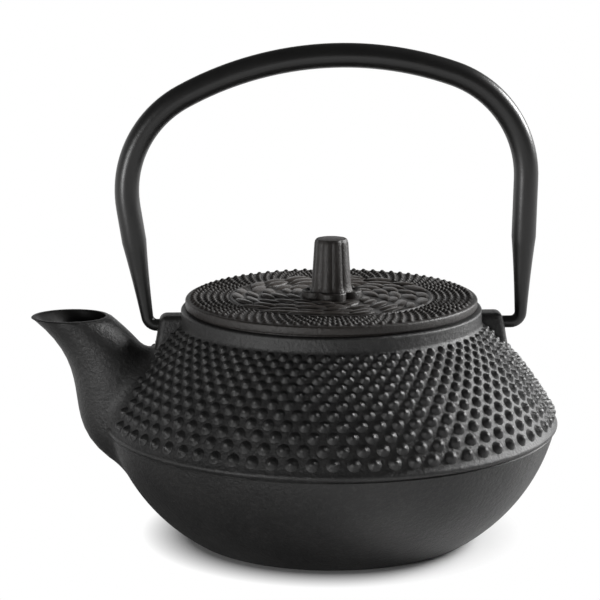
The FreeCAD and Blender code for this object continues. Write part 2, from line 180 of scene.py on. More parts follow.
# The spout's level ovals: height, reach of its front, reach of its back and width
SPOUT = [
    (21, 63.4, 42, 25),
    (31, 75.8, 46, 27),
    (47, 80.2, 51, 26),
    (61, 85.1, 59.6, 23),
    (70.2, 93.7, 69, 21.8),
]
SPOUT_SIDES = 64
SPOUT_ANGLES = [2 * math.pi * side / SPOUT_SIDES for side in range(SPOUT_SIDES)]
SPOUT_WALL = 2.6
LIP = SPOUT[-1][0]
LIP_WALL = 1.8
# The root's hollow runs this far up the spout and out over the pot; its middle and half sizes on the pot
ROOT_BLEND = 6.5
ROOT_MIDDLE = 40
ROOT_HALF_WIDTH = 14
ROOT_HALF_HEIGHT = 18


def spout_oval(height):
    """The oval's front, back and width at a height, on the smooth curve through the five."""
    total = [0.0, 0.0, 0.0]
    for one in SPOUT:
        share = 1.0
        for other in SPOUT:
            if other is not one:
                share *= (height - other[0]) / (one[0] - other[0])
        total = [sum_so_far + share * size for sum_so_far, size in zip(total, one[1:])]
    return total


def spout_point(height, angle, wall=0.0):
    """A point on the spout, or on its bore a wall further in; angle 0 is its front."""
    front, back, width = spout_oval(min(height, LIP))
    across = (front - back) / 2 - wall
    along = -(front + back) / 2 - across * math.cos(angle)
    return Vector((along, (width / 2 - wall) * math.sin(angle), height))


POT_OUTSIDE = pot_outside()


def pot_reach(height):
    """The outside's radius at a height."""
    for low, high in zip(POT_OUTSIDE, POT_OUTSIDE[1:]):
        if low.y <= height < high.y:
            return low.x + (high.x - low.x) * (height - low.y) / (high.y - low.y)
    return POT_OUTSIDE[-1].x


def pot_climb(height, distance):
    """The height that a walk of that length up or down the outside ends at."""
    step = math.copysign(0.05, distance)
    left = abs(distance)
    while left > 0:
        fall = pot_reach(height + step) - pot_reach(height)
        left -= math.hypot(fall, step)
        height += step
    return height


def root_rings():
    """Rings of points that lead the spout's root in a soft hollow onto the pot's outside."""
    steps = 7
    # The rise that a slope is measured over, and how far the hollow's edge sinks into the pot
    probe, sink = 0.1, 0.05
    rings = [[] for _ in range(steps + 1)]
    starts = []
    for angle in SPOUT_ANGLES:
        # Search by halves for the height at which this side of the spout leaves the pot
        low, high = SPOUT[0][0], LIP
        while high - low > 0.01:
            middle = (low + high) / 2
            point = spout_point(middle, angle)
            if math.hypot(point.x, point.y) < pot_reach(middle):
                low = middle
            else:
                high = middle
        corner = spout_point(high, angle)
        slope = (spout_point(high + probe, angle) - corner).length / probe
        starts.append(high + ROOT_BLEND / slope)
        start = spout_point(starts[-1], angle)
        # Away from the root's middle, along the pot's outside
        sideways = math.atan2(corner.y, -corner.x)
        spread = Vector((sideways * pot_reach(high) / ROOT_HALF_WIDTH ** 2,
                         (high - ROOT_MIDDLE) / ROOT_HALF_HEIGHT ** 2)).normalized()
        end_height = pot_climb(high, ROOT_BLEND * spread.y)
        reach = pot_reach(end_height) - sink
        end_angle = sideways + ROOT_BLEND * spread.x / reach
        end = Vector((-reach * math.cos(end_angle), reach * math.sin(end_angle), end_height))
        for step in range(steps + 1):
            share = step / steps
            bent = start * (1 - share) ** 2 + corner * 2 * share * (1 - share) + end * share ** 2
            rings[step].append(bent)
    return starts, rings


def loft(mesh, rings, surface=0):
    """Joins rings of points into one skin and closes its two ends."""
    loops = []
    for number, ring in enumerate(rings):
        ends = number in (0, len(rings) - 1)
        circle = bmesh.ops.create_circle(mesh, segments=len(ring), radius=MM, cap_ends=ends)
        edges = set()
        for vert, point in zip(circle["verts"], ring):
            vert.co = point * MM
            edges.update(vert.link_edges)
        loops.append(list(edges))
    for low, high in zip(loops, loops[1:]):
        bmesh.ops.bridge_loops(mesh, edges=low + high)
    for face in mesh.faces:
        face.material_index = surface
    bmesh.ops.recalc_face_normals(mesh, faces=mesh.faces)
    return mesh


def spout_solid():
    """The spout's outside from the blended root up to the lip's rounded edge."""
    starts, root = root_rings()
    rings = list(reversed(root))
    climbs = 14
    for climb in range(1, climbs + 1):
        share = climb / climbs
        rings.append([spout_point(start + (LIP - 0.6 - start) * share, angle)
                      for start, angle in zip(starts, SPOUT_ANGLES)])
    for inset, drop in ((0.1, 0.28), (0.35, 0.06), (0.7, 0.0)):
        rings.append([spout_point(LIP, angle, inset) - Vector((0, 0, drop)) for angle in SPOUT_ANGLES])
    return loft(bmesh.new(), rings)


def bore_plug(extra):
    """What the spout's bore takes away, from the pot's inside up through the lip, and that much wider."""
    levels = [(height, SPOUT_WALL) for height in (31, 35, 39, 43, 47, 51, 54, 57, 60, 63, 66, 68)]
    levels += [(69.5, LIP_WALL), (LIP - 0.2, LIP_WALL - 0.1), (LIP, LIP_WALL - 0.5), (LIP + 2, 0.2)]
    rings = []
    for height, wall in levels:
        rings.append([spout_point(height, angle, wall - extra) for angle in SPOUT_ANGLES])
    return loft(bmesh.new(), rings, surface=1)


EAR_WIDTH = 9.0
EAR_INNER = 44.5
EAR_TOP = 70.4
EAR_TOP_REACH = 53.4
EAR_FOOT = 55.0
EAR_FOOT_REACH = 56.2
EAR_ROUND = 2.0
EAR_HOLE = 2.25
EAR_HOLE_MIDDLE = 53.3
EAR_HOLE_DEPTH = 10
PIVOT = 67.0


def ear_solid(side):
    """A lug with a flat top, soft edges and a slightly leaning outer face."""
    mesh = bmesh.new()
    bmesh.ops.create_cube(mesh, size=1)
    for vert in mesh.verts:
        outer, upper = vert.co.x > 0, vert.co.z > 0
        reach = EAR_INNER
        if outer:
            reach = EAR_TOP_REACH if upper else EAR_FOOT_REACH
        level = EAR_TOP if upper else EAR_FOOT
        vert.co = Vector((side * reach, vert.co.y * EAR_WIDTH, level)) * MM
    bmesh.ops.recalc_face_normals(mesh, faces=mesh.faces)
    # The edges that don't lie in the collar or at the foot
    shown = [edge for edge in mesh.edges
             if max(vert.co.z for vert in edge.verts) > (EAR_FOOT + EAR_ROUND) * MM
             and max(abs(vert.co.x) for vert in edge.verts) > COLLAR * MM]
    bmesh.ops.bevel(mesh, geom=shown, offset=EAR_ROUND * MM, offset_type="OFFSET", affect="EDGES",
                    segments=5, profile=0.5, material=-1)
    return mesh


def ear_hole(side):
    """The blind hole for the handle's hook."""
    mesh = bmesh.new()
    middle = Matrix.Translation(Vector((side * EAR_HOLE_MIDDLE, 0, PIVOT)) * MM)
    bmesh.ops.create_cone(mesh, cap_ends=True, segments=32, radius1=EAR_HOLE * MM, radius2=EAR_HOLE * MM,
                          depth=EAR_HOLE_DEPTH * MM, matrix=middle @ Matrix.Rotation(math.pi / 2, 4, "Y"))
    return mesh


# Half outlines of bosses, as shares of their radius and height
ROUND_BOSS = [(1.0, -0.3), (1.0, 0.15), (0.8, 0.66), (0.42, 0.93), (0.0, 1.0)]
SOFT_NAIL = [(1.25, -0.3), (1.2, 0.04), (0.9, 0.26), (0.6, 0.68), (0.3, 0.94), (0.0, 1.0)]


def dome(mesh, shape, radius, height, sectors, place):
    """A small boss, open at the foot that sinks into its ground; a layer that grows towards its top drives
    the top's gloss and its painted light and shade.
    """
    polish_and_shading = mesh.verts.layers.float.get("polish_and_shading") or mesh.verts.layers.float.new("polish_and_shading")
    before = set(mesh.verts)
    corners = [mesh.verts.new((x * radius * MM, 0, z * height * MM)) for x, z in shape]
    edges = [mesh.edges.new(pair) for pair in zip(corners, corners[1:])]
    bmesh.ops.spin(mesh, geom=corners + edges, cent=(0, 0, 0), axis=(0, 0, 1), dvec=(0, 0, 0),
                   angle=2 * math.pi, steps=sectors, use_merge=False, use_duplicate=False)
    made = [vert for vert in mesh.verts if vert not in before]
    bmesh.ops.remove_doubles(mesh, verts=made, dist=0.001 * MM)
    made = [vert for vert in mesh.verts if vert not in before]
    for vert in made:
        vert[polish_and_shading] = max(0.0, vert.co.z / (height * MM))
    bmesh.ops.transform(mesh, matrix=place, verts=made)
    return made


def ring_of_domes(radius, height, sectors, reach, level, lean, count, shift, skip=None):
    """A closed row of bosses round the upright axis, without those that skip says to leave out."""
    mesh = bmesh.new()
    place = Matrix.Translation((reach * MM, 0, level * MM)) @ Matrix.Rotation(lean, 4, "Y")
    made = dome(mesh, SOFT_NAIL, radius, height, sectors, place)
    pitch = 2 * math.pi / count
    bmesh.ops.recalc_face_normals(mesh, faces=mesh.faces)
    bmesh.ops.rotate(mesh, verts=made, cent=(0, 0, 0), matrix=Matrix.Rotation(shift * pitch, 3, "Z"))
    repeat_round(mesh, count)
    if skip:
        left_out = []
        for vert in mesh.verts:
            turn = (round(math.atan2(vert.co.y, vert.co.x) / pitch - shift) + shift) * pitch
            if skip(reach * math.cos(turn), reach * math.sin(turn), level):
                left_out.append(vert)
        bmesh.ops.delete(mesh, geom=left_out, context="VERTS")
    return mesh


def off_the_nails(x, y, z):
    """Whether a nail there would stand on the spout's root or on an ear."""
    front, back, width = spout_oval(z)
    root_margin, ear_margin = 2.5, 1.2
    along = (x + (front + back) / 2) / ((front - back) / 2 + root_margin)
    across = y / (width / 2 + root_margin)
    ear_start = EAR_FOOT + 0.5
    on_ear = abs(y) < EAR_WIDTH / 2 + ear_margin and z > ear_start
    return along ** 2 + across ** 2 < 1 or on_ear


NAIL_ROWS = 12
NAILS_ROUND = 72
NAIL_SIDES = 12
# A nail's radius as a share of the pitch, and its height as a share of its radius
NAIL_SHARE = 0.29
NAIL_RISE = 0.85
FIRST_ROW = 69.0
ELEVENTH_ROW = 50.0
ROW_SHRINK = (ELEVENTH_ROW / FIRST_ROW) ** (1 / 10)


def slope_at(reach):
    """The height of the shoulder's ground at a reach, and the angle of its slope."""
    for low, high in zip(POT_OUTSIDE, POT_OUTSIDE[1:]):
        if low.y >= SHOULDER_FOOT[1] and high.x <= reach <= low.x:
            climb = high - low
            return low.y + climb.y * (reach - low.x) / climb.x, math.atan2(climb.y, -climb.x)


def nails():
    """Twelve staggered rows, closer and smaller towards the collar as the casting narrows."""
    mesh = bmesh.new()
    for row in range(NAIL_ROWS):
        reach = FIRST_ROW * ROW_SHRINK ** row
        level, lean = slope_at(reach)
        radius = NAIL_SHARE * 2 * math.pi * reach / NAILS_ROUND
        shift = 0.5 + 0.5 * (row % 2)
        add_mesh(mesh, ring_of_domes(radius, NAIL_RISE * radius, NAIL_SIDES, reach, level, lean,
                                     NAILS_ROUND, shift, off_the_nails))
    return mesh


class Shade:
    """A socket in a tree of shader nodes. Sums on it add Math nodes, and node() adds any other."""

    def __init__(self, tree, socket=None):
        self.tree = tree
        self.socket = socket

    def node(self, kind, settings=None, sockets=None, output=0):
        made = self.tree.nodes.new(kind)
        for name, value in (settings or {}).items():
            setattr(made, name, value)
        for name, value in (sockets or {}).items():
            if isinstance(value, Shade):
                self.tree.links.new(value.socket, made.inputs[name])
            else:
                made.inputs[name].default_value = value
        return Shade(self.tree, made.outputs[output])

    def math(self, operation, first, second):
        return self.node("ShaderNodeMath", {"operation": operation}, {0: first, 1: second})

    def __add__(self, other):
        return self.math("ADD", self, other)

    __radd__ = __add__

    def __sub__(self, other):
        return self.math("SUBTRACT", self, other)

    def __rsub__(self, other):
        return self.math("SUBTRACT", other, self)

    def __mul__(self, other):
        return self.math("MULTIPLY", self, other)

    __rmul__ = __mul__

    def between(self, low, high):
        """Nought below low, one above high and even in between."""
        return self.node("ShaderNodeMapRange", None, {0: self, 1: low, 2: high, 3: 0.0, 4: 1.0})

    def mix(self, first, second):
        """The first colour where this is nought, the second where it is one."""
        return self.node("ShaderNodeMix", {"data_type": "RGBA"}, {0: self, 6: first, 7: second}, output=2)


def new_finish(name):
    """A bare material, its Principled node and a Shade to build on."""
    material = bpy.data.materials.new(name)
    material.use_nodes = True
    surface = material.node_tree.nodes["Principled BSDF"]
    return material, surface, Shade(material.node_tree)


def feed(surface, **sockets):
    """Sets or links the Principled node's sockets; an underscore stands for a space."""
    for name, value in sockets.items():
        socket = surface.inputs[name.replace("_", " ")]
        if isinstance(value, Shade):
            value.tree.links.new(value.socket, socket)
        else:
            socket.default_value = value


def noise(shade, place, scale, detail, roughness=0.5):
    return shade.node("ShaderNodeTexNoise", None,
                      {"Vector": place, "Scale": scale, "Detail": detail, "Roughness": roughness})


def bump(shade, height, strength, distance):
    return shade.node("ShaderNodeBump", None, {"Height": height, "Strength": strength, "Distance": distance})


def sand_cast(name, dark, light, worn_and_shading, grain_depth, smoothing):
    """Baked black on sand-cast iron: fine grain, cloudy tone, and tops with a gloss of their own and a colour
    of their own that is partly wear and partly painted light and shade.
    """
    material, surface, shade = new_finish(name)
    place = shade.node("ShaderNodeTexCoord", output=3)
    cloud = noise(shade, place, 45, 3).between(0.35, 0.7)
    grain = noise(shade, place, 900, 5, 0.65)
    coarse = noise(shade, place, 420, 3, 0.6)
    rubbed_and_shading = shade.node("ShaderNodeAttribute", {"attribute_name": "polish_and_shading"}, output=2)
    specks = grain.between(0.5, 0.75) * 0.6 + cloud * 0.4
    # Towards the tops the colour turns to the tops' own colour, which paints shade on the pot's nails and
    # paints highlights, with some wear, on the lid's leaves
    colour = (rubbed_and_shading * 0.7).mix(specks.mix(dark, light), worn_and_shading)
    relief = grain * 0.6 + coarse * 0.4
    feed(surface, Base_Color=colour, Roughness=0.52 - 0.1 * cloud - smoothing * rubbed_and_shading,
         Specular_IOR_Level=0.5, Normal=bump(shade, relief, grain_depth, 0.7 * MM))
    return material


# Painted light: the ground between the nails is made lighter as a stand-in for light from the left, and the
# nail tops get the dark colour as painted shade
pot_iron = sand_cast("pot_iron", dark=(0.008, 0.008, 0.008, 1), light=(0.038, 0.037, 0.036, 1),
                     worn_and_shading=(0.008, 0.008, 0.008, 1), grain_depth=0.7, smoothing=0.16)


def pot_enamel():
    """The inside's satin black enamel, with a faint orange-peel skin."""
    material, surface, shade = new_finish("pot_enamel")
    place = shade.node("ShaderNodeTexCoord", output=3)
    cloud = noise(shade, place, 120, 3)
    skin = noise(shade, place, 500, 2)
    feed(surface, Base_Color=cloud.mix((0.006, 0.006, 0.006, 1), (0.012, 0.0115, 0.011, 1)),
         Roughness=0.42 + 0.12 * cloud, Specular_IOR_Level=0.2, Normal=bump(shade, skin, 0.25, 0.3 * MM))
    return material


def finish_piece(name, mesh, body, nodes, materials, crease=35):
    """Makes the object, smooths it up to the crease angle and joins it to the CAD model."""
    piece = as_object(name, mesh)
    for material in materials:
        piece.data.materials.append(material)
    piece.data.shade_smooth()
    piece.data.set_sharp_from_angle(angle=math.radians(crease))
    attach(piece, body)
    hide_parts(*nodes)


def pot_casting():
    """The turned shell with its spout, ears and nails."""
    shell = bmesh.new()
    inside = pot_inside(WALL)
    turn_outline(shell, POT_OUTSIDE, ROUND_STEPS)
    turn_outline(shell, list(reversed(inside)), ROUND_STEPS, surface=1)
    turn_outline(shell, [inside[-1], POT_OUTSIDE[-1]], ROUND_STEPS)
    close_up(shell)
    # The cutter stands a little into the wall and well above the mouth, so that no two faces coincide
    into_wall, cutter_top = 0.3, 90
    above = [Vector((REBATE + 0.4, cutter_top)), Vector((0, cutter_top))]
    hollow = turned_solid(pot_inside(WALL - into_wall) + above, CUTTER_STEPS, surface=1)
    bore = bore_plug(extra=0.0)
    casting = cut_away(shell, bore_plug(extra=0.25))
    add_mesh(casting, cut_away(spout_solid(), hollow, bore))
    for side in (-1, 1):
        add_mesh(casting, cut_away(ear_solid(side), hollow, ear_hole(side)))
    add_mesh(casting, nails())
    return casting


finish_piece("pot_casting", pot_casting(), "pot", ["pot_body"], [pot_iron, pot_enamel()])


# Handle: a tube rolled from sheet steel with its seam inside the bow. Its ends are drawn down, bent into
# hooks and sprung into the blind holes of the ears, and the whole bow is coated a smooth satin black.
TUBE = 3.8
SEAM = 0.7
SEAM_DEPTH = 0.5
HOOK = 1.9
HOOK_BEND = 3.2
HOOK_LENGTH = 8.6
TAPER = 24.0
CROWN = 103.5
CROWN_TOP = 150.9
CROWN_SHIFT = 3.5
TUBE_SIDES = 36
HOOK_STEPS = 8
TAPER_STEPS = 8
BEND_STEPS = 24
CROWN_STEPS = 32


class BowSide:
    """One half of the bow's centre line: x outwards from the pot's axis, y up."""

    def __init__(self, reach, splay, bend, shift):
        splay = math.radians(splay)
        corner = Vector((reach, PIVOT))
        up = Vector((math.sin(splay), math.cos(splay)))
        inward = Vector((-math.cos(splay), math.sin(splay)))
        self.up = up
        self.hook_turn = math.pi / 2 - splay
        cut = HOOK_BEND * math.tan(self.hook_turn / 2)
        self.hook_tip = corner - Vector((HOOK_LENGTH, 0))
        self.hook_start = corner - Vector((cut, 0))
        self.taper_foot = corner + up * cut
        self.hook_centre = self.taper_foot + inward * HOOK_BEND
        crown_centre = Vector((shift, CROWN_TOP - CROWN))
        away = corner + inward * bend - crown_centre
        along = away.dot(up)
        rise = math.sqrt(along ** 2 - away.length_squared + (CROWN - bend) ** 2) - along
        self.bend_foot = corner + up * rise
        self.bend_centre = self.bend_foot + inward * bend
        outward = self.bend_centre - crown_centre
        self.crown_turn = math.atan2(outward.x, outward.y)
        self.bend_turn = math.pi / 2 + splay - self.crown_turn


def groove_seam(ring):
    """Pinches the hook's ring at its top, which comes to lie inside the bow, to the sheet's open seam."""
    top, left, right = sorted(ring, key=lambda vert: -vert.co.z)[:3]
    half = SEAM / 2 * HOOK / TUBE * MM
    for lip in (left, right):
        lip.co.y = math.copysign(half, lip.co.y)
        lip.co.z = PIVOT * MM + math.sqrt((HOOK * MM) ** 2 - half ** 2)
    top.co.z -= SEAM_DEPTH * HOOK / TUBE * MM


def handle_bow():
    """A ring of points drawn along hook, taper, leg, bend and crown, and down the other side."""
    front = BowSide(reach=57.1, splay=8.8, bend=33.3, shift=-CROWN_SHIFT)
    rear = BowSide(reach=59.4, splay=1.4, bend=34.0, shift=CROWN_SHIFT)
    mesh = bmesh.new()
    turn = Matrix.Rotation(math.pi / 2, 4, "Y")
    tip = Matrix.Translation((-front.hook_tip.x * MM, 0, PIVOT * MM)) @ turn
    circle = bmesh.ops.create_circle(mesh, segments=TUBE_SIDES, radius=HOOK * MM, cap_ends=True, matrix=tip)
    groove_seam(circle["verts"])
    state = {"ring": list({edge for vert in circle["verts"] for edge in vert.link_edges})}

    def ring_verts():
        return list({vert for edge in state["ring"] for vert in edge.verts})

    def draw(offset, swell=1.0):
        grown = bmesh.ops.extrude_edge_only(mesh, edges=state["ring"])["geom"]
        state["ring"] = [item for item in grown if isinstance(item, bmesh.types.BMEdge)]
        verts = ring_verts()
        bmesh.ops.translate(mesh, verts=verts, vec=Vector((offset.x, 0, offset.y)) * MM)
        middle = sum((vert.co for vert in verts), Vector()) / len(verts)
        bmesh.ops.scale(mesh, verts=verts, vec=(swell, swell, swell), space=Matrix.Translation(-middle))

    def bend(centre, angle, steps):
        spun = bmesh.ops.spin(mesh, geom=state["ring"] + ring_verts(),
                              cent=Vector((centre.x, 0, centre.y)) * MM, axis=(0, 1, 0), dvec=(0, 0, 0),
                              angle=angle, steps=steps, use_merge=False, use_duplicate=False)
        state["ring"] = [item for item in spun["geom_last"] if isinstance(item, bmesh.types.BMEdge)]

    def mirror(point):
        return Vector((-point.x, point.y))

    swell = (TUBE / HOOK) ** (1 / TAPER_STEPS)
    draw(mirror(front.hook_start - front.hook_tip))
    bend(mirror(front.hook_centre), front.hook_turn, HOOK_STEPS)
    for _ in range(TAPER_STEPS):
        draw(mirror(front.up) * (TAPER / TAPER_STEPS), swell)
    draw(mirror(front.bend_foot - front.taper_foot - front.up * TAPER))
    bend(mirror(front.bend_centre), front.bend_turn, BEND_STEPS)
    bend(Vector((CROWN_SHIFT, CROWN_TOP - CROWN)), front.crown_turn + rear.crown_turn, CROWN_STEPS)
    bend(rear.bend_centre, rear.bend_turn, BEND_STEPS)
    draw(rear.taper_foot + rear.up * TAPER - rear.bend_foot)
    for _ in range(TAPER_STEPS):
        draw(-rear.up * (TAPER / TAPER_STEPS), 1 / swell)
    bend(rear.hook_centre, rear.hook_turn, HOOK_STEPS)
    draw(rear.hook_tip - rear.hook_start)
    bmesh.ops.contextual_create(mesh, geom=state["ring"])
    bmesh.ops.recalc_face_normals(mesh, faces=mesh.faces)
    return mesh


def handle_coat():
    """Smooth satin black coating, a little uneven in tone and gloss, with a very fine skin."""
    material, surface, shade = new_finish("handle_coat")
    place = shade.node("ShaderNodeTexCoord", output=3)
    cloud = noise(shade, place, 90, 3)
    skin = noise(shade, place, 900, 3)
    feed(surface, Base_Color=cloud.mix((0.006, 0.006, 0.006, 1), (0.014, 0.0135, 0.013, 1)),
         Roughness=0.26 + 0.14 * cloud, Specular_IOR_Level=0.5, Normal=bump(shade, skin, 0.12, 0.3 * MM))
    return material


finish_piece("handle", handle_bow(), "handle", ["handle_bow"], [handle_coat()])


# Infuser: a basket of pressed stainless sheet and woven wire that hangs by its flange on the ledge in the
# mouth. The wire wall is lapped under a spot-welded strip and held at its foot by a pressed ring.
WIRE = 0.36
WIRES_ROUND = 240
HOOPS = 44
BASKET_FOOT = 27.9
WIRE_REACH = 37.55
MESH_REACH = 37.1
MESH_PITCH = 0.95
MESH_LEVEL = 28.2
SLEEVE_INNER = 37.9
SLEEVE_OUTER = 38.7
SLEEVE_FOOT = 62.3
FLANGE = 42.2
FLANGE_TOP = 71.1
RING_INNER = 33.25
RING_OUTER = 38.5
RING_LOW = 27.3
RING_TOP = 32.3
SHEET_STEPS = 128
HOOP_STEPS = 120


def brushed_steel(name, bright, streak_axis):
    """Bare stainless sheet with the fine lines of its last brushing."""
    material, surface, shade = new_finish(name)
    place = shade.node("ShaderNodeTexCoord", output=3)
    stretched = shade.node("ShaderNodeMapping", None, {"Vector": place, "Scale": streak_axis})
    lines = noise(shade, stretched, 900, 4, 0.6)
    cloud = noise(shade, place, 60, 2)
    dull = bright * 0.8
    feed(surface, Base_Color=cloud.mix((dull, dull, dull, 1), (bright, bright, bright * 0.98, 1)),
         Metallic=1.0, Roughness=0.24 + 0.2 * lines, Normal=bump(shade, lines, 0.15, 0.05 * MM))
    return material


steel = brushed_steel("steel", 0.62, (1, 1, 0.08))
wire_steel = brushed_steel("wire_steel", 0.55, (0.3, 0.3, 1))


def square_hoop(mesh, reach, level, half):
    outline = [(reach - half, level - half), (reach + half, level - half), (reach + half, level + half),
               (reach - half, level + half), (reach - half, level - half)]
    turn_outline(mesh, outline, HOOP_STEPS)


def wire_wall():
    """Hoops and uprights, the uprights standing half a wire inside the hoops."""
    mesh = bmesh.new()
    rise = (LEDGE - BASKET_FOOT) / HOOPS
    for hoop in range(HOOPS):
        square_hoop(mesh, WIRE_REACH + WIRE / 4, BASKET_FOOT + (hoop + 0.5) * rise, WIRE / 2)
    close_up(mesh)
    uprights = bmesh.new()
    middle = Matrix.Translation(Vector((WIRE_REACH - WIRE / 4, 0, (BASKET_FOOT + LEDGE) / 2)) * MM)
    size = Matrix.Diagonal((WIRE * MM, WIRE * MM, (LEDGE - BASKET_FOOT) * MM, 1))
    bmesh.ops.create_cube(uprights, size=1, matrix=middle @ size)
    repeat_round(uprights, WIRES_ROUND)
    add_mesh(mesh, uprights)
    return mesh


def wire_floor():
    """Two layers of straight wires cut to a disc."""
    mesh = bmesh.new()
    count = int(MESH_REACH / MESH_PITCH)
    for layer, turn in ((-WIRE / 4, 0.0), (WIRE / 4, math.pi / 2)):
        for line in range(-count, count + 1):
            off = line * MESH_PITCH
            half = math.sqrt(MESH_REACH ** 2 - off ** 2)
            middle = Matrix.Translation(Vector((0, off, MESH_LEVEL + layer)) * MM)
            place = Matrix.Rotation(turn, 4, "Z") @ middle
            size = Matrix.Diagonal((2 * half * MM, WIRE * MM, WIRE * MM, 1))
            bmesh.ops.create_cube(mesh, size=1, matrix=place @ size)
    return mesh


def pressed_rim():
    """Flange, rounded shoulder and sleeve, pressed from one sheet."""
    outline = [(SLEEVE_INNER, SLEEVE_FOOT), (SLEEVE_OUTER, SLEEVE_FOOT), (SLEEVE_OUTER, LEDGE - 0.4),
               (SLEEVE_OUTER + 0.15, LEDGE - 0.1), (SLEEVE_OUTER + 0.4, LEDGE),
               (FLANGE - 0.2, LEDGE), (FLANGE, LEDGE + 0.2), (FLANGE, FLANGE_TOP - 0.2),
               (FLANGE - 0.2, FLANGE_TOP), (SLEEVE_OUTER, FLANGE_TOP),
               (SLEEVE_INNER + 0.25, FLANGE_TOP - 0.25), (SLEEVE_INNER, LEDGE), (SLEEVE_INNER, SLEEVE_FOOT)]
    return turned_solid(outline, SHEET_STEPS)


def pressed_foot():
    """The ring that is folded round the foot of the wall and under the floor."""
    outline = [(RING_INNER, RING_LOW), (RING_OUTER - 0.4, RING_LOW), (RING_OUTER - 0.1, RING_LOW + 0.15),
               (RING_OUTER, RING_LOW + 0.5), (RING_OUTER, RING_TOP), (RING_OUTER - 0.6, RING_TOP),
               (RING_OUTER - 0.6, BASKET_FOOT), (RING_INNER, BASKET_FOOT), (RING_INNER, RING_LOW)]
    return turned_solid(outline, SHEET_STEPS)


finish_piece("infuser_wires", wire_wall(), "infuser", ["infuser_wall"], [wire_steel])
finish_piece("infuser_floor_wires", wire_floor(), "infuser", ["infuser_floor"], [wire_steel])
finish_piece("infuser_flange", pressed_rim(), "infuser", ["infuser_rim"], [steel])
finish_piece("infuser_foot", pressed_foot(), "infuser", ["infuser_base_ring"], [steel])
lap_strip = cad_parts["infuser_lap_strip"]
lap_strip.data.materials.clear()
lap_strip.data.materials.append(steel)


# Lid: a flat iron casting. Small nails ring its rim, the middle has a shallow rosette of overlapping leaves
# whose tops are rubbed a little brown and carry painted highlights, and the skirt below hangs in the
# infuser's mouth.
LID_REACH = 45.6
LID_SEAT = COLLAR_TOP
LID_UNDER = 72.8
LID_GROUND = 75.4
LID_RIM = 75.5
LID_TOP = 75.8
LID_STEPS = 192
TANG_HOLE = 2.1
SKIRT_INNER = 34.05
SKIRT_OUTER = 36.45
SKIRT_FOOT = 67.3
LID_NAILS = 84
LID_NAIL_SIDES = 10
LID_ROWS = 6
LID_FIRST_ROW = 43.2
LID_ROW_STEP = 2.05
LID_NAIL_SHARE = 0.34
LID_NAIL_RISE = 0.9
# How many leaves each ring has, from the rim inwards
LEAF_RINGS = (20, 18, 16, 13, 10)
LEAF_FIRST_RING = 28.6
LEAF_RING_STEP = 4.2
LEAF_LEVEL = 75.62
LEAF_TILT = -0.22
LEAF_SIDES = 10
LEAF_SEED = 4
# Each leaf's own sizes are drawn: how far it strays along its ring, as a share of the step from leaf to leaf,
# and off its ring, its length as a share of that step, its width and height, and its twist
LEAF_STRAY = 0.15
LEAF_OFF = 0.6
LEAF_LENGTH = (1.05, 1.45)
LEAF_WIDTH = (3.8, 5.0)
LEAF_HEIGHT = (0.6, 0.9)
LEAF_TWIST = (0.1, 0.6)


def lid_outline():
    """From the drilled middle of the underside, round the skirt and the rim, to the middle of the top."""
    run = [(TANG_HOLE, LID_UNDER), (SKIRT_INNER - 0.45, LID_UNDER), (SKIRT_INNER, LID_UNDER - 0.4),
           (SKIRT_INNER, SKIRT_FOOT + 0.4), (SKIRT_INNER + 0.35, SKIRT_FOOT),
           (SKIRT_OUTER - 0.35, SKIRT_FOOT), (SKIRT_OUTER, SKIRT_FOOT + 0.4), (SKIRT_OUTER, LID_SEAT),
           (LID_REACH - 1, LID_SEAT), (LID_REACH - 1, LID_UNDER), (LID_REACH - 0.4, LID_UNDER)]
    run += bow(run[-1], (LID_REACH, LID_UNDER + 0.4), 0.4, 3)
    run += [(LID_REACH, LID_RIM - 0.6)]
    run += bow(run[-1], (LID_REACH - 0.7, LID_RIM), 0.7, 4)
    # A fine raised ring between the nails and the leaves
    run += [(31.8, 75.45), (31.5, 75.9), (31.0, 76.0), (30.4, 75.6)]
    run += [(10.5, LID_TOP), (TANG_HOLE, LID_TOP), (TANG_HOLE, LID_UNDER)]
    return run


def leaf(mesh, length, width, height, reach, turn, twist, level):
    """One long pointed scale that lies along the ring, its outer edge lifted over the next ring."""
    swing = Matrix.Rotation(turn, 4, "Z") @ Matrix.Translation(Vector((reach, 0, level)) * MM)
    tilt = Matrix.Rotation(math.pi / 2 + twist, 4, "Z") @ Matrix.Rotation(LEAF_TILT, 4, "X")
    size = Matrix.Diagonal((length / 2, width / 2, height, 1))
    made = dome(mesh, ROUND_BOSS, 1.0, 1.0, LEAF_SIDES, Matrix.Identity(4))
    # The round boss narrows to a point at both ends
    for vert in made:
        along = vert.co.x / MM
        vert.co.y *= 1 - 0.55 * abs(along) ** 1.5
    bmesh.ops.transform(mesh, matrix=swing @ tilt @ size, verts=made)


